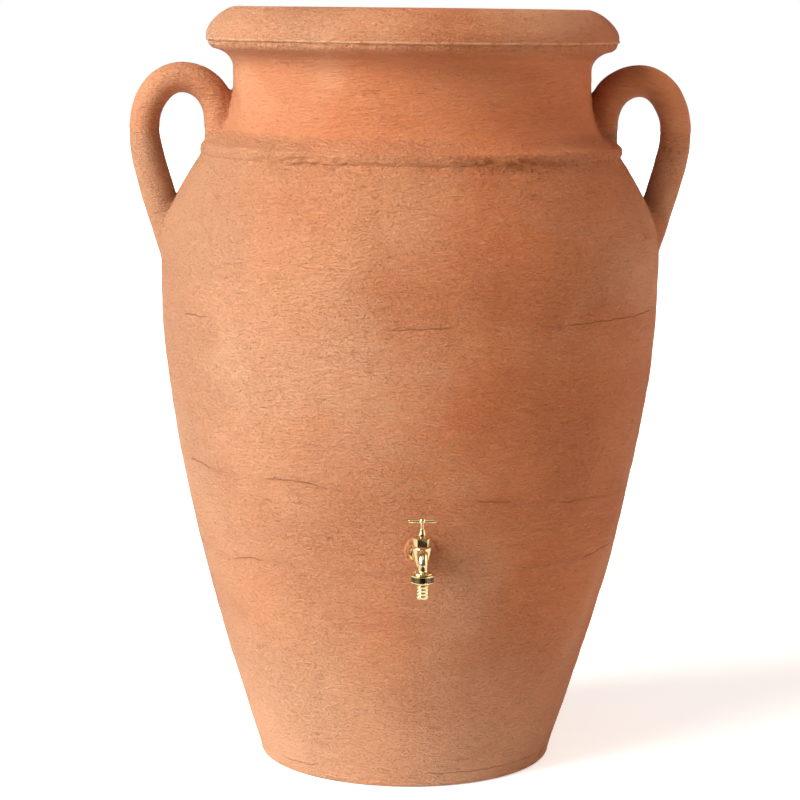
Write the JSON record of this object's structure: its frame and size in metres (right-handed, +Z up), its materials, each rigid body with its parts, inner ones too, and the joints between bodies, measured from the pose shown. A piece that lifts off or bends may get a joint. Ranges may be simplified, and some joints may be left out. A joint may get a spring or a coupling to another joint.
{
  "type": "rain barrel",
  "caption": "Amphora-shaped rain barrel with loop handles, a drop-in lid and a screw-down draw-off tap with a hose union low on the front.",
  "frame": {"origin": "centre of the foot on the ground, on the barrel's axis", "axes": "+Z up along the barrel's axis; the tap faces -Y; the handles lie along +X and -X"},
  "size_m": [0.8498, 0.7933, 1.14],
  "materials": {
    "barrel_plastic": "rotomoulded polyethylene, terracotta colour, cast-in stone texture",
    "lid_plastic": "moulded plastic, terracotta colour, fine grain",
    "brass": "polished brass",
    "steel": "stainless",
    "seal_rubber": "black rubber",
    "fibre": "red fibre"
  },
  "bodies": {
    "barrel": {"barrel_shell": "barrel_plastic", "tap_insert": "brass", "inlet_washer": "seal_rubber", "tap_body": "brass", "bonnet_washer": "fibre", "bonnet": "brass", "packing_ring": "fibre", "packing_nut": "brass"},
    "valve": {"jumper": "brass", "jumper_washer": "seal_rubber", "jumper_nut": "brass"},
    "spindle": {"spindle": "brass", "crutch_handle": "brass", "grub_screw": "steel"},
    "tail": {"hose_tail": "brass", "union_washer": "seal_rubber"},
    "union": {"union_nut": "brass"},
    "lid": {"lid": "lid_plastic", "lid_knob": "lid_plastic", "knob_washer": "steel", "knob_screw": "steel"}
  },
  "joints": [
    {"name": "valve_lift", "type": "slide", "parent": "barrel", "child": "valve", "axis": [0, 0, 1], "range_m": [0, 0.004]},
    {"name": "tap_turn", "type": "hinge", "parent": "valve", "child": "spindle", "pos_m": [0, -0.37433, 0.432], "axis": [0, 0, 1], "range_deg": [0, 720]},
    {"name": "tail_drop", "type": "slide", "parent": "barrel", "child": "tail", "axis": [0, 0, -1], "range_m": [0, 0.00726]},
    {"name": "union_turn", "type": "hinge", "parent": "tail", "child": "union", "pos_m": [0, -0.39932, 0.355], "axis": [0, 0, -1], "range_deg": [0, 1440]},
    {"name": "lid_lift", "type": "slide", "parent": "barrel", "child": "lid", "axis": [0, 0, 1], "range_m": [0, 0.15]}
  ],
  "couplings": [
    {"joint": "tap_turn", "follows": "valve_lift", "rad_per_m": 3141.5},
    {"joint": "union_turn", "follows": "tail_drop", "rad_per_m": 3461.5}
  ]
}
